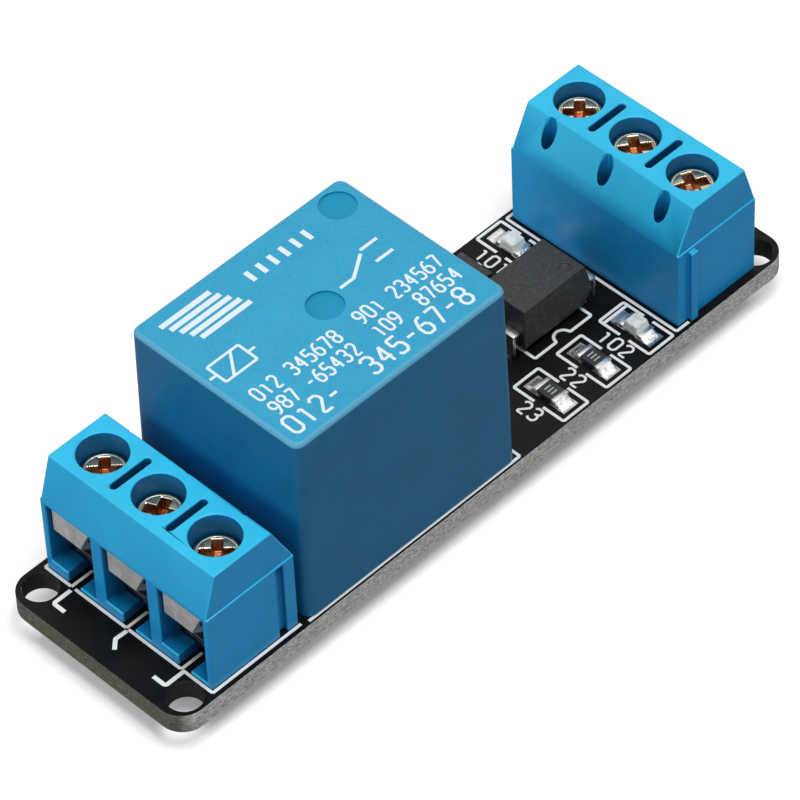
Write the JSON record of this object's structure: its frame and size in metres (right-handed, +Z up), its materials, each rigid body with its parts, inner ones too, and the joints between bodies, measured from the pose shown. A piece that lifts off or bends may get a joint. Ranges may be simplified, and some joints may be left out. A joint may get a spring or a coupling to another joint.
{
  "type": "relay module",
  "caption": "Narrow black circuit board with a sealed blue relay between screw terminal blocks, an optocoupler and small chip parts, with mounting holes in its corners.",
  "frame": {"origin": "centre of the four mounting holes, on the underside of the board", "axes": "+X along the board from the contact terminals to the control terminals, +Z up out of the component side, +Y completes the right-handed frame"},
  "size_m": [0.0566, 0.0164, 0.0192],
  "materials": {
    "board_mask": "black satin solder mask over glass fibre",
    "terminal_plastic": "blue moulded plastic",
    "tinned_strip": "tinned contact strip",
    "clamp_plate": "plated clamp",
    "screw_metal": "yellow plated screw",
    "relay_plastic": "blue moulded plastic, fine satin",
    "relay_base_plastic": "blue moulded plastic",
    "seal_resin": "cast resin",
    "bobbin_plastic": "natural moulded plastic",
    "copper_wire": "enamelled copper",
    "soft_iron": "plated soft iron",
    "tinned_pins": "tinned",
    "spring_bronze": "bare spring bronze",
    "contact_silver": "polished silver alloy",
    "optocoupler_resin": "dark moulded resin",
    "tinned_leads": "tinned",
    "resistor_body": "dark glazed top",
    "chip_caps": "tinned",
    "light_body": "pale laminate",
    "light_lens": "clear pale resin",
    "diode_glass": "amber glass",
    "solder": "bright solder"
  },
  "bodies": {
    "module": {"board": "board_mask", "contact_block": "terminal_plastic", "control_block": "terminal_plastic", "contact_terminal_1": "tinned_strip", "contact_terminal_2": "tinned_strip", "contact_terminal_3": "tinned_strip", "control_terminal_1": "tinned_strip", "control_terminal_2": "tinned_strip", "control_terminal_3": "tinned_strip", "relay_cover": "relay_plastic", "relay_base": "relay_base_plastic", "relay_seal": "seal_resin", "relay_bobbin": "bobbin_plastic", "relay_winding": "copper_wire", "relay_core": "soft_iron", "relay_yoke": "soft_iron", "relay_coil_pins": "tinned_pins", "relay_closed_terminal": "spring_bronze", "relay_closed_button": "contact_silver", "relay_open_terminal": "spring_bronze", "relay_open_button": "contact_silver", "optocoupler_body": "optocoupler_resin", "optocoupler_leads": "tinned_leads", "resistor_1": "resistor_body", "resistor_2": "resistor_body", "resistor_3": "resistor_body", "resistor_caps": "chip_caps", "light_base_1": "light_body", "light_base_2": "light_body", "light_lens_1": "light_lens", "light_lens_2": "light_lens", "light_caps": "chip_caps", "transistor_body": "optocoupler_resin", "transistor_leads": "tinned_leads", "diode_glass": "diode_glass", "diode_caps": "chip_caps", "chip_solder": "solder", "pin_solder": "solder"},
    "contact_screw_1": {"contact_screw_1": "screw_metal"},
    "contact_clamp_1": {"contact_clamp_1": "clamp_plate"},
    "contact_screw_2": {"contact_screw_2": "screw_metal"},
    "contact_clamp_2": {"contact_clamp_2": "clamp_plate"},
    "contact_screw_3": {"contact_screw_3": "screw_metal"},
    "contact_clamp_3": {"contact_clamp_3": "clamp_plate"},
    "control_screw_1": {"control_screw_1": "screw_metal"},
    "control_clamp_1": {"control_clamp_1": "clamp_plate"},
    "control_screw_2": {"control_screw_2": "screw_metal"},
    "control_clamp_2": {"control_clamp_2": "clamp_plate"},
    "control_screw_3": {"control_screw_3": "screw_metal"},
    "control_clamp_3": {"control_clamp_3": "clamp_plate"},
    "armature": {"relay_armature": "soft_iron", "relay_blade": "spring_bronze", "relay_moving_button": "contact_silver"}
  },
  "joints": [
    {"name": "contact_screw_1_turn", "type": "hinge", "parent": "module", "child": "contact_screw_1", "pos_m": [-0.02153, -0.00508, 0.0095], "axis": [0, 0, 1], "range_deg": [-1153, 0]},
    {"name": "contact_clamp_1_rise", "type": "slide", "parent": "module", "child": "contact_clamp_1", "axis": [0, 0, 1], "range_m": [0, 0.0016]},
    {"name": "contact_screw_2_turn", "type": "hinge", "parent": "module", "child": "contact_screw_2", "pos_m": [-0.02153, 0, 0.0095], "axis": [0, 0, 1], "range_deg": [-1153, 0]},
    {"name": "contact_clamp_2_rise", "type": "slide", "parent": "module", "child": "contact_clamp_2", "axis": [0, 0, 1], "range_m": [0, 0.0016]},
    {"name": "contact_screw_3_turn", "type": "hinge", "parent": "module", "child": "contact_screw_3", "pos_m": [-0.02153, 0.00508, 0.0095], "axis": [0, 0, 1], "range_deg": [-1153, 0]},
    {"name": "contact_clamp_3_rise", "type": "slide", "parent": "module", "child": "contact_clamp_3", "axis": [0, 0, 1], "range_m": [0, 0.0016]},
    {"name": "control_screw_1_turn", "type": "hinge", "parent": "module", "child": "control_screw_1", "pos_m": [0.02193, 0.00508, 0.0095], "axis": [0, 0, 1], "range_deg": [-1153, 0]},
    {"name": "control_clamp_1_rise", "type": "slide", "parent": "module", "child": "control_clamp_1", "axis": [0, 0, 1], "range_m": [0, 0.0016]},
    {"name": "control_screw_2_turn", "type": "hinge", "parent": "module", "child": "control_screw_2", "pos_m": [0.02193, 0, 0.0095], "axis": [0, 0, 1], "range_deg": [-1153, 0]},
    {"name": "control_clamp_2_rise", "type": "slide", "parent": "module", "child": "control_clamp_2", "axis": [0, 0, 1], "range_m": [0, 0.0016]},
    {"name": "control_screw_3_turn", "type": "hinge", "parent": "module", "child": "control_screw_3", "pos_m": [0.02193, -0.00508, 0.0095], "axis": [0, 0, 1], "range_deg": [-1153, 0]},
    {"name": "control_clamp_3_rise", "type": "slide", "parent": "module", "child": "control_clamp_3", "axis": [0, 0, 1], "range_m": [0, 0.0016]},
    {"name": "armature_tip", "type": "hinge", "parent": "module", "child": "armature", "pos_m": [0.00041, -0.00028, 0.01452], "axis": [0, -1, 0], "range_deg": [0, 3.1], "stiffness_Nm_per_rad": 0.01, "springref_deg": -3.44}
  ],
  "couplings": [
    {"joint": "contact_screw_1_turn", "follows": "contact_clamp_1_rise", "rad_per_m": -12566},
    {"joint": "contact_screw_2_turn", "follows": "contact_clamp_2_rise", "rad_per_m": -12566},
    {"joint": "contact_screw_3_turn", "follows": "contact_clamp_3_rise", "rad_per_m": -12566},
    {"joint": "control_screw_1_turn", "follows": "control_clamp_1_rise", "rad_per_m": -12566},
    {"joint": "control_screw_2_turn", "follows": "control_clamp_2_rise", "rad_per_m": -12566},
    {"joint": "control_screw_3_turn", "follows": "control_clamp_3_rise", "rad_per_m": -12566}
  ]
}
